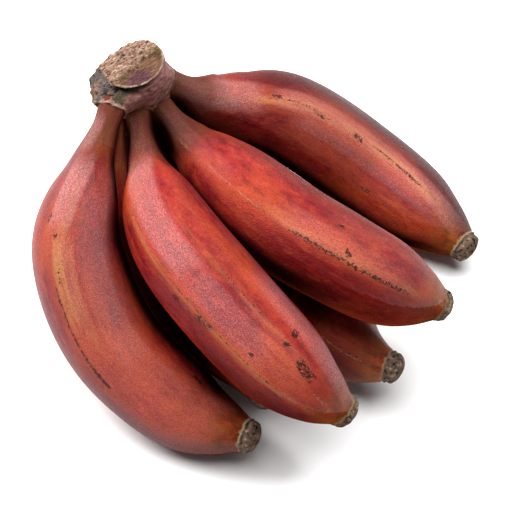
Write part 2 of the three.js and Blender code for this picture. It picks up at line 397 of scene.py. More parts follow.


# %% [markdown]
# ## Marks of growing and handling, and painted light
# No two fruits are marked alike, so the marks are listed one by one. Each is a stroke along the
# fruit: where it starts and ends in millimetres from the crown, its angles there in degrees from
# the ridge that the fruit's turn gives, half its width in millimetres, and its strength.
# - warm: orange bands, where sun and rubbing reached a ridge
# - gold and sheen: thin yellow streaks on the ridges, partly real and partly a painted highlight
#   where a ridge faces the key light
# - mauve: the purple of the sides; deep: painted shade, maroon on the sides in shade
# - gap shade: nearly black painted shade between the fingers; dull: skin there without its shine
# - painted sheen: a pale pink veil painted on the shoulders that face the key light
# - scuff and speck: tan scrapes and rows of black specks, which knocks leave

# %% List the marks
marks = {
    "upper_finger_1": {
        "warm": [
            (8, 26, -34, -42, 3.5, 0.8), (40, 110, -8, -8, 5, 1.0), (44, 72, 9, 12, 3.5, 0.9),
            (60, 165, -26, -32, 7, 0.5), (96, 150, -60, -56, 8, 0.5), (128, 174, -36, -24, 7, 0.9),
        ],
        "gold_and_sheen": [(44, 96, -9, -8, 2.6, 0.9), (50, 106, -20, -22, 2.2, 0.45)],
        "mauve": [(4, 62, 16, 16, 9, 0.6), (24, 116, -66, -62, 8, 0.85), (60, 168, 30, 26, 9, 0.7)],
        "deep": [
            (30, 84, -92, -90, 8, 0.4), (104, 182, 44, 42, 8, 0.5), (120, 176, -92, -80, 6, 0.4),
        ],
        "gap_shade": [(14, 44, -114, -112, 6, 1.0), (24, 184, -110, -112, 8, 1.0)],
        "dull": [(10, 200, -106, -100, 14, 1.0)],
        "painted_sheen": [
            (2, 26, 16, 10, 4, 0.6), (20, 58, -6, -6, 6, 1.0), (20, 172, -34, -30, 15, 0.3),
            (26, 128, -52, -46, 8, 0.5), (44, 100, -20, -22, 3.5, 0.5),
        ],
        "scuff": [(24, 62, -14, -16, 2.0, 0.9), (128, 176, 0, 0, 1.2, 0.85)],
        "speck": [
            (44, 54, 17, 12, 3, 0.86), (52, 57, -3, -3, 1.4, 1.0), (60, 78, -8, -6, 1.2, 0.95),
            (62, 124, 0, 1, 1.3, 1.03), (104, 122, 1, 1, 1.6, 1.1), (120, 144, 1, 0, 1.0, 0.9),
            (138, 152, -82, -82, 2, 1.0),
        ],
    },
    "upper_finger_2": {
        "warm": [(30, 162, 0, 0, 2.0, 0.7), (114, 150, -38, -30, 6, 1.0)],
        "gold_and_sheen": [(44, 156, 3, 2, 1.1, 0.5), (50, 142, -50, -48, 1.2, 0.25)],
        "mauve": [
            (0, 26, -60, -60, 10, 0.5), (20, 130, -112, -108, 8, 0.5), (60, 170, 26, 22, 7, 0.9),
            (130, 162, -100, -84, 8, 0.9),
        ],
        "deep": [(90, 180, 50, 46, 9, 0.6)],
        "gap_shade": [
            (-24, 70, -152, -144, 6, 1.0), (-2, 38, 30, 28, 4, 1.0), (60, 120, -126, -126, 3, 0.8),
        ],
        "dull": [(-20, 190, 44, 40, 12, 1.0)],
        "painted_sheen": [
            (-4, 26, -30, -26, 4, 0.2), (16, 96, -26, -24, 7, 0.75), (80, 136, -22, -20, 7, 0.45),
            (96, 168, -92, -80, 8, 0.6), (100, 150, -30, -30, 9, 0.2),
        ],
        "scuff": [(34, 158, 0, 0, 1.1, 0.92), (140, 160, -30, -12, 1.6, 0.86)],
        "speck": [
            (60, 150, 1, 1, 1.0, 0.88), (84, 126, -53, -51, 1.0, 0.93), (87, 93, 12, 12, 1.7, 1.08),
            (96, 110, 7, 5, 2.2, 0.98), (120, 125, -10, -10, 1.6, 1.0),
            (125, 131, -65, -63, 3.2, 1.05), (126, 131, -48, -48, 1.8, 1.1),
            (131, 147, -46, -38, 4, 0.96),
        ],
    },
    "upper_finger_3": {
        "warm": [(82, 128, -10, -10, 6, 0.7), (136, 158, -24, -12, 6, 1.0)],
        "gold_and_sheen": [(70, 146, -7, -5, 2.6, 0.35)],
        "mauve": [
            (0, 44, -20, -14, 9, 0.6), (120, 158, -70, -60, 8, 0.5), (120, 160, 14, 14, 7, 0.5),
        ],
        "deep": [
            (24, 140, -70, -70, 7, 0.5), (24, 160, 38, 42, 8, 0.35), (30, 130, -88, -88, 5, 0.6),
        ],
        "gap_shade": [(-2, 28, 56, 56, 4.5, 1.0), (24, 124, 56, 57, 6, 1.0)],
        "dull": [(10, 190, 60, 62, 13, 1.0)],
        "painted_sheen": [
            (-4, 34, -12, -10, 5, 0.2), (24, 64, -8, -6, 5, 0.15), (78, 142, -15, -13, 6, 0.3),
            (90, 150, -38, -36, 8, 0.15),
        ],
        "scuff": [
            (12, 36, 10, 4, 1.6, 0.93), (30, 90, 1, 0, 1.2, 0.93), (76, 148, -1, -1, 1.8, 0.9),
            (84, 150, -3, -3, 1.2, 0.86), (146, 160, -12, 0, 2.5, 0.93),
        ],
        "speck": [
            (78, 146, 0, 0, 1.7, 0.98), (97, 101, -30, -30, 1.2, 0.95),
            (100, 105, -37, -37, 1.4, 1.05), (106, 111, -15, -4, 1.9, 1.1),
            (111, 114, -2, 4, 1.6, 1.1),
        ],
    },
    "upper_finger_4": {
        "warm": [
            (26, 170, -3, -6, 7, 0.9), (40, 150, 40, 36, 4, 0.5), (58, 134, -30, -26, 5, 0.5),
            (96, 164, 50, 42, 6, 0.9), (162, 178, -36, -30, 9, 0.9),
        ],
        "gold_and_sheen": [(30, 160, -4, -7, 2.6, 0.7)],
        "mauve": [(2, 24, 0, 8, 9, 0.9), (40, 160, 24, 22, 7, 0.5), (120, 170, 2, -10, 6, 0.8)],
        "deep": [
            (4, 40, 50, 50, 5, 0.6), (24, 168, 64, 66, 8, 0.35), (24, 184, -58, -54, 12, 0.85),
        ],
        "gap_shade": [(-2, 30, 96, 100, 8, 1.0), (22, 176, 92, 90, 7, 1.0), (30, 160, 110, 110, 8, 1.0)],
        "dull": [(10, 190, 90, 88, 15, 1.0)],
        "painted_sheen": [
            (-4, 26, 4, -6, 6, 0.2), (14, 46, -15, -8, 9, 0.8), (40, 168, -8, -8, 6, 0.6),
            (50, 160, 16, 14, 4, 0.35),
        ],
        "scuff": [(14, 36, 8, 2, 3.5, 0.9), (126, 170, -1, 3, 1.2, 0.92)],
        "speck": [
            (40, 84, -8, -3, 1.1, 0.94), (43, 53, -11, -10, 1.4, 1.0), (62, 76, -2, 2, 1.3, 0.98),
            (84, 97, -2, -2, 2.4, 1.0), (90, 150, -6, -4, 1.3, 0.98), (100, 128, 50, 44, 2, 0.88),
        ],
    },
    "lower_finger_1": {
        "warm": [(2, 26, 36, 40, 4.5, 0.8)],
        "gap_shade": [
            (-24, 9, 38, 38, 8, 1.0), (-24, 36, 5, 8, 3.6, 1.0), (-24, 36, 72, 72, 3.6, 1.0),
            (16, 150, 46, 58, 14, 1.0),
        ],
        "dull": [(-9, 150, 40, 60, 40, 1.0)],
    },
    "lower_finger_2": {
        "warm": [(130, 172, -20, -16, 8, 0.9), (150, 176, -40, -40, 5, 0.6)],
        "deep": [(120, 172, 34, 34, 14, 0.7)],
        "gap_shade": [(-9, 136, 20, 20, 22, 1.0), (-9, 150, -60, -60, 22, 1.0)],
        "dull": [(-9, 150, 20, 20, 60, 1.0)],
        "scuff": [(138, 172, 0, 0, 1.2, 0.93)],
        "speck": [(146, 168, -3, -2, 1.2, 0.92)],
    },
}
mark_kinds = ("warm", "gold_and_sheen", "mauve", "deep", "gap_shade", "dull", "painted_sheen", "scuff", "speck")
Stroke = namedtuple("Stroke", "kind start end first_angle last_angle width strength")
strokes = {
    name: [Stroke(kind, *values) for kind, found in kinds.items() for values in found]
    for name, kinds in marks.items()
}
print("marks:", {name: len(found) for name, found in strokes.items()})

# %% [markdown]
# ## Soft edges for the marks
# A mark with hard edges looks painted on. So each stroke fades out over its sides and its ends.
# The dark bands, the painted shade and the purple of the sides, fade over a longer way where
# they start on the open skin, because painted shade deepens slowly towards the gaps between
# fingers.

# %% Fade the marks
side_fade = (1.4, 0.3)  # of the half width, where a stroke has faded out and where it is whole
# the painted sheen, whose sides fade more crisply
sheen_side_fade = (1.1, 0.6)
end_fade, slow_end_fade = 16, 30  # millimetres
slow_kinds = ("gap_shade", "deep", "mauve")


def ease(value, start, end):
    """How far a value is from start to end, from 0 to 1, with soft ends."""
    share = min(max((value - start) / (end - start), 0), 1)
    return share * share * (3 - 2 * share)


def mark_strength(stroke, place, angle, radius):
    """How much of a stroke is at a place along the fruit and an angle round it."""
    length = stroke.end - stroke.start
    share = (place - stroke.start) / length
    middle = stroke.first_angle + (stroke.last_angle - stroke.first_angle) * share
    off = abs((angle - math.radians(middle) + math.pi) % (2 * math.pi) - math.pi) * radius
    outer, inner = sheen_side_fade if stroke.kind == "painted_sheen" else side_fade
    slow = stroke.kind in slow_kinds and stroke.start > 0
    fade = min(slow_end_fade if slow else end_fade, length / 3)
    sides = ease(off, stroke.width * outer, stroke.width * inner)
    begun = ease(place, stroke.start, stroke.start + fade)
    return stroke.strength * sides * begun * ease(place, stroke.end, stroke.end - fade)


sample = strokes["upper_finger_1"][0]
halfway = (sample.start + sample.end) / 2
middle_angle = math.radians((sample.first_angle + sample.last_angle) / 2)
print("the first mark at its middle:", mark_strength(sample, halfway, middle_angle, radius=20))

# %% [markdown]
# ## Spinning a fruit
# A straight banana is round about its axis, so its outline is spun like clay on a wheel. A Screw
# modifier would also do that, but a spin in bmesh gives corners that can be moved at once. The
# outline starts and ends on the axis, so the skin is closed once the doubled corners are merged.

# %% Spin a skin
around_steps = 120
merge_reach = 1e-5  # millimetres


def spun_skin(outline):
    """A closed skin of revolution about Z, from radii and places in millimetres."""
    skin = bmesh.new()
    chain = [skin.verts.new((radius, 0, place)) for radius, place in outline]
    edges = [skin.edges.new(pair) for pair in zip(chain, chain[1:])]
    bmesh.ops.spin(
        skin, geom=chain + edges, cent=(0, 0, 0), axis=(0, 0, 1),
        angle=2 * math.pi, steps=around_steps, use_merge=True,
    )
    bmesh.ops.remove_doubles(skin, verts=skin.verts, dist=merge_reach)
    bmesh.ops.recalc_face_normals(skin, faces=skin.faces)
    return skin


print("a skin has", around_steps, "corners round it")

# %% [markdown]
# ## Bending a fruit
# Each corner keeps its place on the straight fruit and its marks in attributes, which the finish
# reads so that everything follows the fruit. Then it moves to its place on the bent line. Corners
# are held inside the CAD model's box, which presses the fruit flat where it bears on the floor.
# Each corner also keeps how far it faces away from the key light, which the finish paints as
# shade. Faces in the dark gaps between the fingers, or that turn well away from the key light,
# take the second finish.

# %% Bend a skin
axis_reach = 0.3  # millimetres, nearer to the axis than this the skin stays smooth
skin_fade, root_fade = 6, 8  # millimetres, over which the unevenness dies out at either end
lip_width = 0.5
cork_fade = 3  # millimetres from the axis, over which the cork's lumps grow
# painted shade: corners that face this way, away from the key light, are coloured maroon
away_from_key_light = Vector((0.55, -0.3, -0.78))
shade_reach = (0.05, 0.85)  # how far a corner faces that way, from no shade to full shade
pressed_from = 0.45  # of a dusk or dull mark, from where a face has the second finish
shaded_from = 0.35  # of the shade, likewise


def relief_at(x, y, place, from_end, seed):
    """How far a corner stands off the plain outline, in millimetres."""
    radius = math.hypot(x, y)
    if radius <= axis_reach or place <= 0:
        return -skin_inset
    if from_end > cork_length:
        fade = min(1, (from_end - cork_length) / skin_fade, place / root_fade)
        return -skin_inset + fade * unevenness(x, y, place, seed)
    if from_end < cork_length - lip_width:
        return -skin_inset + cork_relief(x, y, place, seed) * min(1, radius / cork_fade)
    return -skin_inset


def is_pressed(face, fields):
    """Whether a face lies in a dark gap between fingers or turns well away from the key light."""
    dark = max(vert[fields[kind]] for vert in face.verts for kind in ("gap_shade", "dull"))
    return dark > pressed_from or min(vert[fields["shade"]] for vert in face.verts) > shaded_from


def fruit_mesh(name, finger, own_strokes, seed):
    """A fruit's skin, bent along its line, with its marks in attributes."""
    line = finger["line"]
    length = line.length / MM
    turn = math.radians(finger["turn"])
    skin = spun_skin(fruit_outline(finger))
    fruit = skin.verts.layers.float_vector.new("fruit")
    own_fields = ("to_tip", "to_crown", "ridge", "shade", *mark_kinds)
    fields = {field: skin.verts.layers.float.new(field) for field in own_fields}
    stations = {}
    for vert in skin.verts:
        x, y, place = vert.co
        radius = math.hypot(x, y)
        angle = math.atan2(y, x)
        relief = relief_at(x, y, place, length - place, seed)
        shape = across_shape(angle, place / length)
        bent_radius = max(0, radius * shape + relief) if radius > 0 else 0
        key = round(place, 3)
        if key not in stations:
            near = [stroke for stroke in own_strokes if stroke.start < place < stroke.end]
            stations[key] = line.at(place * MM), near
        (middle, _, upright, across), near = stations[key]
        outward = upright * math.cos(angle + turn) + across * math.sin(angle + turn)
        point = middle + outward * bent_radius * MM
        for axis in range(3):
            point[axis] = min(max(point[axis], cad_box[0][axis]), cad_box[1][axis])
        vert.co = point
        vert[fruit] = Vector((x, y, place)) * MM + Vector((0, 0, seed))
        vert[fields["to_tip"]] = length - place
        vert[fields["to_crown"]] = place
        vert[fields["ridge"]] = 1 - corner_angle(angle) / (sector / 2)
        # painted shade: how far the corner faces away from the key light
        vert[fields["shade"]] = ease(outward.dot(away_from_key_light), *shade_reach)
        for stroke in near:
            here = mark_strength(stroke, place, angle, radius)
            vert[fields[stroke.kind]] = max(vert[fields[stroke.kind]], here)
    for face in skin.faces:
        face.material_index = int(is_pressed(face, fields))
    mesh = bpy.data.meshes.new(name)
    skin.to_mesh(mesh)
    skin.free()
    mesh.shade_smooth()
    return mesh


# %% [markdown]
# ## A workbench for finishes
# Every finish is a network of nodes. This small class adds one node at a time and returns its
# output, so that a finish reads from top to bottom like a recipe.

# %% Make the workbench
mix_factor, mix_first, mix_second, mix_result = 0, 6, 7, 2  # a Mix node's colour sockets


class Finish:
    """A material being made. Each method adds one node and returns what comes out of it."""

    def __init__(self, name):
        self.material = bpy.data.materials.new(name)
        self.material.use_nodes = True
        self.nodes = self.material.node_tree.nodes
        self.shader = self.nodes["Principled BSDF"]

    def plug(self, socket, value):
        """Link a socket to what another node gives, or set it to a plain value."""
        if isinstance(value, bpy.types.NodeSocket):
            self.material.node_tree.links.new(value, socket)
        elif hasattr(value, "__len__") and len(value) == 3 and socket.type == "RGBA":
            socket.default_value = (*value, 1)
        else:
            socket.default_value = value

    def attribute(self, name, output="Fac"):
        """A number that the mesh keeps at each corner, or a vector of three."""
        node = self.nodes.new("ShaderNodeAttribute")
        node.attribute_name = name
        return node.outputs[output]

    def distance(self, vector, middle):
        """How far a place is from a middle."""
        node = self.nodes.new("ShaderNodeVectorMath")
        node.operation = "DISTANCE"
        self.plug(node.inputs[0], vector)
        node.inputs[1].default_value = middle
        return node.outputs["Value"]

    def parts(self, vector):
        """The three numbers of a vector."""
        node = self.nodes.new("ShaderNodeSeparateXYZ")
        self.plug(node.inputs["Vector"], vector)
        return node.outputs["X"], node.outputs["Y"], node.outputs["Z"]

    def stretch(self, vector, scale):
        """Coordinates multiplied along each axis: less than 1 draws a pattern out."""
        node = self.nodes.new("ShaderNodeMapping")
        self.plug(node.inputs["Vector"], vector)
        node.inputs["Scale"].default_value = scale
        return node.outputs["Vector"]

    def noise(self, vector, scale, detail=3, roughness=0.5, distortion=0):
        """Cloudy noise round 0.5, with so many bumps to a unit of its coordinates."""
        node = self.nodes.new("ShaderNodeTexNoise")
        self.plug(node.inputs["Vector"], vector)
        node.inputs["Scale"].default_value = scale
        node.inputs["Detail"].default_value = detail
        node.inputs["Roughness"].default_value = roughness
        node.inputs["Distortion"].default_value = distortion
        return node.outputs["Fac"]

    def fit(self, value, low, high, to_low=0.0, to_high=1.0):
        """What lies from low to high, made to run softly from to_low to to_high."""
        node = self.nodes.new("ShaderNodeMapRange")
        node.interpolation_type = "SMOOTHSTEP"
        self.plug(node.inputs["Value"], value)
        node.inputs["From Min"].default_value = low
        node.inputs["From Max"].default_value = high
        node.inputs["To Min"].default_value = to_low
        node.inputs["To Max"].default_value = to_high
        return node.outputs["Result"]

    def count(self, operation, first, second):
        """Two numbers put together by a named operation."""
        node = self.nodes.new("ShaderNodeMath")
        node.operation = operation
        self.plug(node.inputs[0], first)
        self.plug(node.inputs[1], second)
        return node.outputs["Value"]

    def times(self, first, second):
        return self.count("MULTIPLY", first, second)

    def plus(self, first, second):
        return self.count("ADD", first, second)

    def larger(self, first, second):
        return self.count("MAXIMUM", first, second)

    def blend(self, factor, first, second):
        """The first colour where the factor is 0, and the second where it is 1."""
        node = self.nodes.new("ShaderNodeMix")
        node.data_type = "RGBA"
        self.plug(node.inputs[mix_factor], factor)
        self.plug(node.inputs[mix_first], first)
        self.plug(node.inputs[mix_second], second)
        return node.outputs[mix_result]

    def bump(self, height, distance, strength):
        """Relief that only the light sees, so many metres high."""
        node = self.nodes.new("ShaderNodeBump")
        self.plug(node.inputs["Height"], height)
        node.inputs["Distance"].default_value = distance
        node.inputs["Strength"].default_value = strength
        return node.outputs["Normal"]


# %% [markdown]
# ## The colours of the skin
# A red banana is not one red. It runs from brick to deep crimson, turns orange where the sun
# reached it, purple-brown at the neck and olive at the tip. The colours are shares of red, green
# and blue light. They are named first, so that the recipe after them reads in words.

# %% Name the colours of the skin
brick = (0.27, 0.016, 0.014)
crimson = (0.15, 0.006, 0.01)
coral = (0.37, 0.055, 0.018)
sun_orange = (0.32, 0.042, 0.012)
mauve = (0.15, 0.036, 0.042)
# painted highlight: the pale pink of the painted sheen
sheen_pink = (0.66, 0.35, 0.34)
# yellow of the ridge streaks, partly a painted highlight on the ridges that face the key light
gold_and_sheen = (0.4, 0.17, 0.055)
# maroon: dark flecks and pits of the peel, and also the painted shade on sides in shade
maroon = (0.04, 0.003, 0.003)
shade_black = (0.008, 0.001, 0.001)
neck_brown = (0.075, 0.017, 0.012)
neck_olive = (0.08, 0.03, 0.009)
olive = (0.09, 0.032, 0.008)
tip_orange = (0.3, 0.09, 0.016)
scuff_tan = (0.26, 0.12, 0.08)
speck_black = (0.012, 0.007, 0.006)
cork_brown = (0.11, 0.072, 0.05)
cork_pale = (0.27, 0.19, 0.135)
cork_dark = (0.009, 0.006, 0.004)
lip_pale = (0.24, 0.16, 0.09)
black = (0, 0, 0)
warm_sheen = (1, 0.7, 0.68, 1)  # the tint of the skin's shine
open_gloss, pressed_gloss = 0.13, 0
peel_relief = 0.0005  # metres
bump_strength = 0.8
print("brick is", round(brick[0] / crimson[0], 1), "times as bright as crimson")

# %% [markdown]
# ## Red banana skin
# Brick red and crimson lie in broad soft patches, with fine flecks between. Over them come the
# marks, the neck, the tip, the painted shade and the painted sheen. The fine grain of the peel is
# felt more than seen: it is mostly in the bump, where it breaks up the sheen. A painted image would
# have to be wrapped round each fruit. These patterns read the straight fruit's coordinates instead,
# so they bend with it.

# %% Mix the skin
class Peel(Finish):
    """Red banana skin, from the crown to the end of the dried blossom."""

    def __init__(self, name):
        super().__init__(name)
        self.fruit = self.attribute("fruit", "Vector")
        self.to_tip = self.attribute("to_tip")
        self.patches = self.grown(95, 0.4, 4, 0.6)
        self.streaks = self.grown(420, 0.15, 4, 0.6)
        self.pebbles = self.grown(2500, 0.7, 2, 0.6)
        self.grain = self.grown(3200, 0.7, 2, 0.6)
        self.dots = self.noise(self.fruit, 1000, detail=3, roughness=0.6, distortion=0.8)
        self.streaky = self.fit(self.streaks, 0.35, 0.65, 0.25, 0.95)
        self.lip_wobble = self.plus(self.to_tip, self.fit(self.streaks, 0.3, 0.7, -0.5, 0.5))
        self.cork_place = self.fit(self.lip_wobble, 6.2, 5.8)

    def grown(self, scale, along, detail, roughness):
        """A pattern drawn out along the fruit, as growing drew out its skin."""
        return self.noise(self.stretch(self.fruit, (1, 1, along)), scale, detail, roughness)

    def ripe(self):
        """Crimson and brick in patches, then the sun's orange, then flecks of both."""
        flecks = self.grown(330, 0.45, 4, 0.7)
        broad = self.grown(38, 0.5, 2, 0.5)
        color = self.blend(self.fit(self.patches, 0.35, 0.65, 0.1, 0.95), crimson, brick)
        color = self.blend(self.fit(broad, 0.42, 0.62, 0, 0.6), color, sun_orange)
        color = self.blend(self.fit(flecks, 0.5, 0.68, 0, 0.5), color, coral)
        color = self.blend(self.fit(flecks, 0.48, 0.36, 0, 0.4), color, maroon)
        return self.blend(self.fit(self.attribute("ridge"), 0.5, 1, 0, 0.3), color, coral)

    def banded(self, color):
        """The bands of growing, broken into streaks; the yellow ones are partly a painted
        highlight.
        """
        for kind, paint in (("mauve", mauve), ("warm", coral), ("gold_and_sheen", gold_and_sheen)):
            color = self.blend(self.times(self.attribute(kind), self.streaky), color, paint)
        return color

    def ended(self, color):
        """Brown and olive on the neck, olive and orange where the fruit tapers."""
        neck = self.blend(self.fit(self.streaks, 0.4, 0.6), neck_brown, neck_olive)
        color = self.blend(self.fit(self.attribute("to_crown"), 38, 12, 0, 0.85), color, neck)
        olive_place = self.times(self.fit(self.to_tip, 28, 8), self.streaky)
        color = self.blend(olive_place, color, olive)
        orange = self.times(self.fit(self.to_tip, 22, 8), self.fit(self.patches, 0.45, 0.6))
        return self.blend(self.times(orange, 0.6), color, tip_orange)

    def shaded(self, color):
        """Painted shade: maroon away from the key light and on deep marks, black in finger gaps."""
        color = self.blend(self.times(self.attribute("shade"), 0.75), color, maroon)
        color = self.blend(self.attribute("deep"), color, maroon)
        return self.blend(self.attribute("gap_shade"), color, shade_black)

    def sheen_and_grain(self, color):
        """Painted sheen as a pale veil and glints, and the peel's dark grain, pale dots and pits.
        """
        painted_sheen = self.times(self.attribute("painted_sheen"), self.fit(self.pebbles, 0.35, 0.65, 0.55, 1))
        sparkle = self.fit(self.pebbles, 0.56, 0.66, 0, 0.26)
        color = self.blend(self.times(painted_sheen, 0.3), color, sheen_pink)
        color = self.blend(self.fit(self.grain, 0.35, 0.6, 0.35, 0), color, black)
        color = self.blend(self.times(painted_sheen, sparkle), color, sheen_pink)
        color = self.blend(self.fit(self.dots, 0.66, 0.78, 0, 0.25), color, scuff_tan)
        return self.blend(self.fit(self.pebbles, 0.45, 0.32, 0, 0.34), color, maroon)

    def knocked(self, color):
        """Scrapes and specks, which only show where the dots are strong."""
        for kind, paint, share in (("scuff", scuff_tan, 0.6), ("speck", speck_black, 0.92)):
            broken = self.plus(self.attribute(kind), self.times(self.dots, 1.6))
            color = self.blend(self.fit(broken, 1.62, 1.8, 0, share), color, paint)
        return color

    def corked(self, color):
        """The pale lip, and past it the crumbling cork of the dried blossom."""
        grainy = self.fit(self.grain, 0.35, 0.55, 0.3, 1)
        color = self.blend(self.times(self.fit(self.lip_wobble, 7.1, 6.6), grainy), color, lip_pale)
        crumbs = self.noise(self.fruit, 520, detail=4, roughness=0.7)
        cork = self.blend(self.fit(crumbs, 0.38, 0.48), cork_dark, cork_brown)
        cork = self.blend(self.fit(crumbs, 0.54, 0.66), cork, cork_pale)
        return self.blend(self.cork_place, color, cork)

    def dullness(self):
        """Smooth on pebbles, rough in gaps, away from the key light, on the old neck and dry cork.
        """
        shine = self.fit(self.pebbles, 0.3, 0.7, 0.46, 0.32)
        dull = self.larger(self.attribute("gap_shade"), self.attribute("shade"))
        dull = self.larger(dull, self.fit(self.attribute("to_crown"), 40, 10, 0, 0.7))
        dull = self.larger(self.times(dull, 0.9), self.times(self.cork_place, 0.85))
        return self.larger(shine, dull)


# %% [markdown]
# ## The open and the pressed skin
# Open skin has a waxy sheen. Where fruits press on each other no light reaches, and a sheen there
# would show as a grey haze in the gap. So the same recipe is mixed twice, and the second finish
# has no gloss.

# %% Mix the two finishes
def skin_finish(name, gloss):
    """The whole recipe of the skin, with so much gloss."""
    skin = Peel(name)
    color = skin.ripe()
    for step in (skin.banded, skin.ended, skin.shaded, skin.sheen_and_grain, skin.knocked, skin.corked):
        color = step(color)
    skin.plug(skin.shader.inputs["Base Color"], color)
    skin.shader.inputs["Specular IOR Level"].default_value = gloss
    skin.shader.inputs["Specular Tint"].default_value = warm_sheen
    skin.plug(skin.shader.inputs["Roughness"], skin.dullness())
    height = skin.plus(skin.pebbles, skin.times(skin.streaks, 0.4))
    height = skin.plus(height, skin.times(skin.grain, 0.5))
    skin.plug(skin.shader.inputs["Normal"], skin.bump(height, peel_relief, bump_strength))
    return skin.material


skin_materials = [
    skin_finish("red_banana_skin", open_gloss), skin_finish("pressed_skin", pressed_gloss)
]
print("finishes:", {skin.name: len(skin.node_tree.nodes) for skin in skin_materials}, "nodes")

# %% [markdown]
# ## The six fruits
# Each fruit takes its own seed, so that no two have the same bumps and patches. It rides on the
# hand's one body and stands for the CAD finger of the same name.

# %% Make the fruits
root = "root"
seed_gap = 7.3  # how far apart the fruits lie in the noise
for seed, (name, finger) in enumerate(fingers.items(), start=1):
    mesh = fruit_mesh(name + "_skin", finger, strokes[name], seed * seed_gap)
    for material in skin_materials:
        mesh.materials.append(material)
    piece = link_object(name + "_skin", mesh)
    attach(piece, root)
    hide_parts(name)
    print(piece.name, "has", len(mesh.polygons), "faces")


# %% [markdown]
# ## The crown
# The crown is the stub of stalk that all the necks grow from: one woody lump with a sawn face.
# Whatever shows on it lies on that face or a little below it. So places on the crown are given
# in millimetres along and across the sawn face, and below it.

# %% Find places on the stub
cut_middle = (Vector((-52.5, 50.5, 102.5)) - hand_middle) * MM
cut_facing = Vector((-0.35, 0.08, 0.93)).normalized()
cut_along = Vector((0.86, 0.43, 0.29))
cut_along = (cut_along - cut_facing * cut_along.dot(cut_facing)).normalized()
cut_across = cut_facing.cross(cut_along)


def on_stub(point):
    """A point as millimetres along and across the cut face, and how deep it is below it."""
    away = (point - cut_middle) / MM
    return away.dot(cut_along), away.dot(cut_across), -away.dot(cut_facing)


print("the cut face looks along", [round(value, 2) for value in cut_facing])

# %% [markdown]
# ## One skin for the crown
# Stub and necks grew as one, so no line shows where they meet. The CAD model's stub and a short
# collar round the root of each neck are laid into each other and fused by the Remesh modifier.
# A boolean union would keep their sharp corners, and its faces would be too uneven for relief.

# %% Fuse the stub and the collars
collar_width = 0.4  # millimetres proud of the neck
collar_height = 4.8
collar_place = -1.8  # its middle, on the neck's line
collar_sides = 36
stub_merge = 2e-6  # metres
stub_grain = 0.34  # millimetres, the size of the fused skin's squares

stub = bmesh.new()
stub.from_mesh(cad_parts["crown"].data)
bmesh.ops.remove_doubles(stub, verts=stub.verts, dist=stub_merge)
for finger in fingers.values():
    middle, along, _, _ = finger["line"].at(collar_place * MM)
    radius = (radius_at(finger, 0) + collar_width) * MM
    aim = Matrix.Translation(middle) @ along.to_track_quat("Z", "Y").to_matrix().to_4x4()
    bmesh.ops.create_cone(
        stub, cap_ends=True, segments=collar_sides, radius1=radius, radius2=radius,
        depth=collar_height * MM, matrix=aim,
    )


def fused(shape, name, grain):
    """One closed skin round everything in a bmesh, made of even squares."""
    mesh = bpy.data.meshes.new(name)
    shape.to_mesh(mesh)
    shape.free()
    rough = link_object(name, mesh)
    fuse = rough.modifiers.new("fuse", "REMESH")
    fuse.mode = "VOXEL"
    fuse.voxel_size = grain * MM
    view = bpy.context.evaluated_depsgraph_get()
    even = bpy.data.meshes.new_from_object(rough.evaluated_get(view))
    bpy.data.objects.remove(rough)
    return even


stub_mesh = fused(stub, "crown_stub", stub_grain)
print("the stub has", len(stub_mesh.polygons), "faces")

# %% [markdown]
# ## Where the rim, the scar and the roots are
# The rim of the cut is a smooth closed curve on the sawn face. The scar of a dried bract is a
# blunt knob between two points, and every root lies on its finger's line. All three are found by
# distance, which needs no faces of their own. A search tree finds the nearest point of the rim
# quickly.

# %% Find the rim, the scar and the roots
cut_outline = [
    (-15.5, 8), (-7, 12), (3, 13.5), (11, 9.5), (14.5, -0.5),
    (11.5, -10.5), (3.5, -15), (-5, -12), (-11, -4),
]
rim_steps = 12
wrapped = cut_outline[-2:] + cut_outline + cut_outline[:2]
rim_path = smooth_path([(a, b, 0) for a, b in wrapped], rim_steps)
rim = KDTree(len(rim_path))
for point in rim_path:
    rim.insert(point, 0)
rim.balance()

scar_start = (Vector((-62.4, 42.6, 92.8)) - hand_middle) * MM
scar_end = (Vector((-65.2, 49.8, 93.2)) - hand_middle) * MM
scar_radii = (6.9, 4.6)


def above_scar(point):
    """How far a point is above the dried scar, in millimetres."""
    along = scar_end - scar_start
    share = min(max((point - scar_start).dot(along) / along.length_squared, 0), 1)
    radius = scar_radii[0] + (scar_radii[1] - scar_radii[0]) * share
    return (point - scar_start - along * share).length / MM - radius


roots = [
    (*finger["line"].at(0)[:2], radius_at(finger, 0), finger["seam"])
    for finger in fingers.values()
]
print("the rim has", len(rim_path), "points, and there are", len(roots), "roots")

# %% [markdown]
# ## What is where on the crown
# Every corner of the fused skin gets a share, from 0 to 1, of each thing that can be there: the
# sawn face, its torn part, the scar, the rim, the groove under the rim, the cream seam round a
# root and the neck's own skin past it. Noise makes the borders ragged.

# %% Share out the crown
crown_parts = ("face", "torn", "knob", "rim", "seam", "groove", "root_skin")
face_tilt = (0.45, 0.8)  # how much a corner faces the way of the cut, from none of it to all
face_depth = (2.4, 1.2)  # millimetres, here and below
torn_border = (-3.6, -2.0)
knob_skin = (0.9, 0.2)
rim_half_width, rim_depth = (0.95, 0.25), (1.2, 0.4)
groove_depth, groove_half_width, groove_ends = 2.1, (1.9, 0.6), (10, -1)
groove_tilt = (0.75, 0.4)
near_side = (2, 6)  # the rim and the groove show on the side that looks towards -Y
seam_half_width, root_border = (0.75, 0.2), (2.4, 1.4)


def wave(a, b, d, size_a, size_b, size_d, seed=0):
    """Noise on the stub, its bumps so many millimetres along, across and below the face."""
    return noise.noise(Vector((a / size_a + seed, b / size_b, d / size_d)))


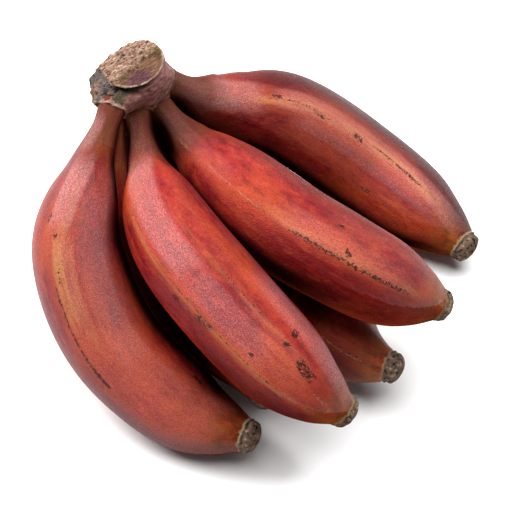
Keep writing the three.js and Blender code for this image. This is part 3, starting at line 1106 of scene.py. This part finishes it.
def root_shares(point, ragged):
    """The shares of the cream seam and of the neck's skin past it."""
    seam = root_skin = 0
    for middle, along, radius, offset in roots:
        away = (point - middle) / MM
        place = away.dot(along) + 0.9 * ragged
        off_line = (away - along * place).length
        beside = ease(off_line - radius, *root_border)
        seam = max(seam, ease(abs(place - offset), *seam_half_width) * beside)
        root_skin = max(root_skin, ease(place, offset, offset + 0.4) * beside)
    return {"seam": seam, "root_skin": root_skin}


def crown_shares(vert, a, b, d, from_rim, ragged):
    """The share of each part of the crown at a corner."""
    up = vert.normal.dot(cut_facing)
    near = ease(0.35 * a - b, *near_side)
    knob = ease(above_scar(vert.co) + 0.5 * ragged, *knob_skin)
    bare = 1 - knob
    rim_line = ease(from_rim + 0.7 * ragged, *rim_half_width) * ease(d, *rim_depth)
    under_rim = ease(abs(d - groove_depth), *groove_half_width) * ease(up, *groove_tilt)
    return {
        "knob": knob,
        "face": ease(up, *face_tilt) * ease(d, *face_depth) * bare,
        "torn": ease(b - 0.25 * a + 3.2 * ragged, *torn_border),
        "rim": rim_line * near * bare,
        "groove": under_rim * near * ease(a, *groove_ends) * bare,
        **root_shares(vert.co, ragged),
    }


print("the crown is shared by", len(crown_parts), "parts:", *crown_parts)

# %% [markdown]
# ## Low relief
# Torn fibres, a clean hollow, a raised rim, the scar's lumps and the wrinkles below are all less
# than two millimetres high. Each corner is pushed in or out along its normal by the sum of them,
# weighed by the shares. The shares stay on the corners as attributes, so that the colours fall
# exactly on the relief.

# %% Press in the relief
smoothing_rounds, smoothing = 5, 0.5
torn_height, fibre_height, pit_depth = 0.35, 0.8, 1.5  # millimetres, here and below
hollow_depth, hollow_width = 1.1, (0.3, 4.0)
rim_height, groove_cut, seam_height = 0.3, 1.1, 0.35
lump_height, wrinkle_height = 1.3, 0.4


def crown_relief(here, a, b, d, from_rim, ragged):
    """How far the surface stands out or in at a corner, in millimetres."""
    crumb = wave(a, b, d, 1.3, 1.3, 1.3, 31)
    fibre = wave(0.9 * a + 0.5 * b, b - 0.5 * a, d, 3.6, 1.1, 2)
    pits = max(0, crumb - 0.05)
    torn = here["face"] * here["torn"]
    clean = here["face"] - torn
    relief = torn * (torn_height + fibre_height * fibre - pit_depth * pits)
    relief -= clean * (hollow_depth * ease(from_rim, *hollow_width) - 0.25 * fibre)
    relief += rim_height * here["rim"] * (1 + ragged) - groove_cut * here["groove"]
    lumps = lump_height * wave(a, b, d, 2.7, 2.7, 2.7, 5)
    relief += here["knob"] * (lumps + 0.6 * crumb - 1.4 * pits)
    skin_here = (1 - here["knob"]) * (1 - here["face"]) * (1 - here["root_skin"])
    relief += skin_here * (wrinkle_height * wave(a, b, d, 4, 4, 1.6, 77) + 0.12 * crumb)
    return relief + seam_height * here["seam"] * max(0, 0.4 + ragged)


bark = bmesh.new()
bark.from_mesh(stub_mesh)
for _ in range(smoothing_rounds):
    bmesh.ops.smooth_vert(
        bark, verts=bark.verts, factor=smoothing,
        use_axis_x=True, use_axis_y=True, use_axis_z=True,
    )
bark.normal_update()
stub_place = bark.verts.layers.float_vector.new("stub_place")
shares = {part: bark.verts.layers.float.new(part) for part in crown_parts}
moves = []
for vert in bark.verts:
    a, b, d = on_stub(vert.co)
    from_rim = rim.find((a, b, 0))[2]
    ragged = wave(a, b, d, 2.4, 2.4, 2.4, 17)
    here = crown_shares(vert, a, b, d, from_rim, ragged)
    moves.append(vert.normal * crown_relief(here, a, b, d, from_rim, ragged) * MM)
    vert[stub_place] = Vector((a, b, d))
    for part, share in here.items():
        vert[shares[part]] = share
for vert, move in zip(bark.verts, moves):
    vert.co += move
    vert.co.z = min(vert.co.z, cad_box[1][2])
bark_mesh = bpy.data.meshes.new("crown_bark")
bark.to_mesh(bark_mesh)
bark.free()
bark_mesh.shade_smooth()
print("the relief is at most", round(max(move.length for move in moves) / MM, 1), "mm")

# %% [markdown]
# ## The colours of the crown
# The crown is older and drier than the fruits. Its torn fibres are tan, its cut flesh is purple
# and orange-brown, its scar is grey, and the skin below the cut is a dusty mauve.

# %% Name the colours of the crown
fibre_tan = (0.21, 0.115, 0.075)
fibre_pale = (0.40, 0.27, 0.205)
crack_brown = (0.022, 0.009, 0.005)
flesh_purple = (0.075, 0.02, 0.028)
flesh_orange = (0.13, 0.058, 0.03)
flesh_olive = (0.07, 0.045, 0.008)
rim_cream = (0.30, 0.23, 0.16)
scar_grey = (0.075, 0.055, 0.047)
scar_black = (0.008, 0.006, 0.005)
scar_tan = (0.19, 0.105, 0.06)
lichen_white = (0.3, 0.25, 0.24)
# dark olive of the painted shadow under the rim
rim_shadow_olive = (0.028, 0.018, 0.009)
band_brown = (0.17, 0.06, 0.05)
band_mauve = (0.36, 0.165, 0.145)
band_orange = (0.22, 0.085, 0.035)
band_green = (0.042, 0.034, 0.018)
rust = (0.13, 0.018, 0.006)
# nearly black, the painted shadow under the rim
rim_shadow_black = (0.008, 0.005, 0.004)
root_brown = (0.1, 0.026, 0.016)
bark_gloss = 0.2
bark_relief = 0.0011  # metres
print("pale fibre is", round(fibre_pale[0] / fibre_tan[0], 1), "times as bright as tan")

# %% [markdown]
# ## Bark and sawn face
# The torn fibres of the sawn face are pale, with dark cracks between them. The lower side is cut
# clean and shows its flesh inside a cream rim. A few patches are one of a kind, such as the green
# one under the rim and a nearly black one beside it, which is painted shadow, as is the dark groove
# under the rim. They are blended in round a middle and a radius, with an edge that noise makes
# ragged, which is simpler than a mask of their own.

# %% Mix the bark
class Bark(Finish):
    """The crown's finish. Its patterns read the places on the stub, in millimetres."""

    def __init__(self, name):
        super().__init__(name)
        self.place = self.attribute("stub_place", "Vector")
        self.a, self.b, self.d = self.parts(self.place)
        self.fine = self.noise(self.place, 1.3, detail=3, roughness=0.7)
        self.lumps = self.noise(self.place, 0.6, detail=4, roughness=0.7)
        fibres = self.stretch(self.place, (0.5, 1.5, 1))
        self.grain = self.noise(fibres, 0.75, detail=4, roughness=0.7)
        folds = self.stretch(self.place, (0.5, 0.5, 2))
        self.wrinkles = self.noise(folds, 0.9, detail=4, roughness=0.6)

    def near(self, middle, radius, soft=1.5):
        """A ragged patch round a place on the stub."""
        away = self.distance(self.place, middle)
        ragged = self.plus(away, self.fit(self.lumps, 0.3, 0.7, -1.6, 1.6))
        return self.fit(ragged, radius + soft, radius - soft)

    def band(self):
        """The mauve skin below the cut, with its patches and the painted shadow under the rim."""
        band = self.blend(self.fit(self.wrinkles, 0.36, 0.6), band_brown, band_mauve)
        band = self.blend(self.fit(self.lumps, 0.58, 0.7, 0, 0.7), band, band_orange)
        band = self.blend(self.fit(self.lumps, 0.44, 0.34, 0, 0.5), band, root_brown)
        # painted shadow: darker towards the cut, in the wide groove under the rim
        hollow = self.times(self.fit(self.d, 3, 6.5, 0.9, 0), self.near((-7, -10, 3), 5, 2))
        band = self.blend(hollow, band, rim_shadow_olive)
        band = self.blend(self.near((-11, -9.5, 3.5), 3.0, 1), band, band_green)
        band = self.blend(self.near((-12.4, -5.6, 1.8), 1.6, 0.6), band, rim_shadow_black)
        band = self.blend(self.near((-12.8, -7.2, 3.2), 1.2, 0.6), band, rust)
        return self.blend(self.fit(self.fine, 0.6, 0.72, 0, 0.6), band, rim_cream)

    def sawn(self):
        """The cut face: clean flesh on its lower side, torn fibres on the rest."""
        flesh = self.blend(self.near((0, -10.5, 0), 6, 2), flesh_orange, flesh_purple)
        flesh = self.blend(self.near((13, -2, 0), 2.4, 1.5), flesh, flesh_olive)
        flesh = self.blend(self.fit(self.grain, 0.52, 0.42, 0, 0.75), flesh, crack_brown)
        flesh = self.blend(self.fit(self.grain, 0.56, 0.68, 0, 0.6), flesh, fibre_tan)
        torn = self.blend(self.fit(self.grain, 0.39, 0.48), crack_brown, fibre_tan)
        torn = self.blend(self.fit(self.grain, 0.5, 0.62), torn, fibre_pale)
        edge = self.fit(self.plus(self.b, self.times(self.a, -0.25)), 1.5, -2.5, 0, 0.8)
        damp = self.times(edge, self.fit(self.lumps, 0.42, 0.56))
        torn = self.blend(damp, torn, flesh_olive)
        return self.blend(self.attribute("torn"), flesh, torn)

    def scar(self):
        """The grey knob that a dried bract left, with its crumbs and its dark foot."""
        scar = self.blend(self.near((-18, -0.5, 3), 4.6, 1.5), scar_grey, scar_tan)
        scar = self.blend(self.near((-19.6, -3.6, 6), 2.2, 1), scar, band_orange)
        scar = self.blend(self.fit(self.lumps, 0.5, 0.42, 0, 0.9), scar, scar_black)
        scar = self.blend(self.fit(self.fine, 0.54, 0.7, 0, 0.55), scar, lichen_white)
        return self.blend(self.fit(self.d, 8.5, 10.5), scar, scar_black)


def bark_finish():
    """The crown's colours laid over each other by the shares of its parts."""
    bark = Bark("crown_bark")
    color = bark.blend(bark.attribute("face"), bark.band(), bark.sawn())
    # painted shadow: the groove under the rim's overhang is cut in and also coloured nearly black
    groove = bark.blend(bark.fit(bark.lumps, 0.4, 0.6), rim_shadow_black, rim_shadow_olive)
    color = bark.blend(bark.attribute("groove"), color, groove)
    color = bark.blend(bark.attribute("knob"), color, bark.scar())
    broken = bark.fit(bark.fine, 0.36, 0.5, 0.15, 0.95)
    color = bark.blend(bark.times(bark.attribute("rim"), broken), color, rim_cream)
    root_skin = bark.blend(bark.fit(bark.wrinkles, 0.4, 0.62), root_brown, band_orange)
    color = bark.blend(bark.attribute("root_skin"), color, root_skin)
    color = bark.blend(bark.times(bark.attribute("seam"), broken), color, rim_cream)
    broad = bark.noise(bark.place, 0.28, detail=2)
    color = bark.blend(bark.fit(broad, 0.35, 0.65, 0.25, 0), color, black)
    bark.plug(bark.shader.inputs["Base Color"], color)
    bark.shader.inputs["Specular IOR Level"].default_value = bark_gloss
    bark.plug(bark.shader.inputs["Roughness"], bark.fit(bark.fine, 0.3, 0.7, 0.9, 0.6))
    height = bark.plus(bark.times(bark.fine, 0.6), bark.grain)
    bark.plug(bark.shader.inputs["Normal"], bark.bump(height, bark_relief, bump_strength))
    return bark.material


bark_mesh.materials.append(bark_finish())
crown = link_object("crown_stub", bark_mesh)
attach(crown, root)
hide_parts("crown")
print("the crown has", len(bark_mesh.polygons), "faces")
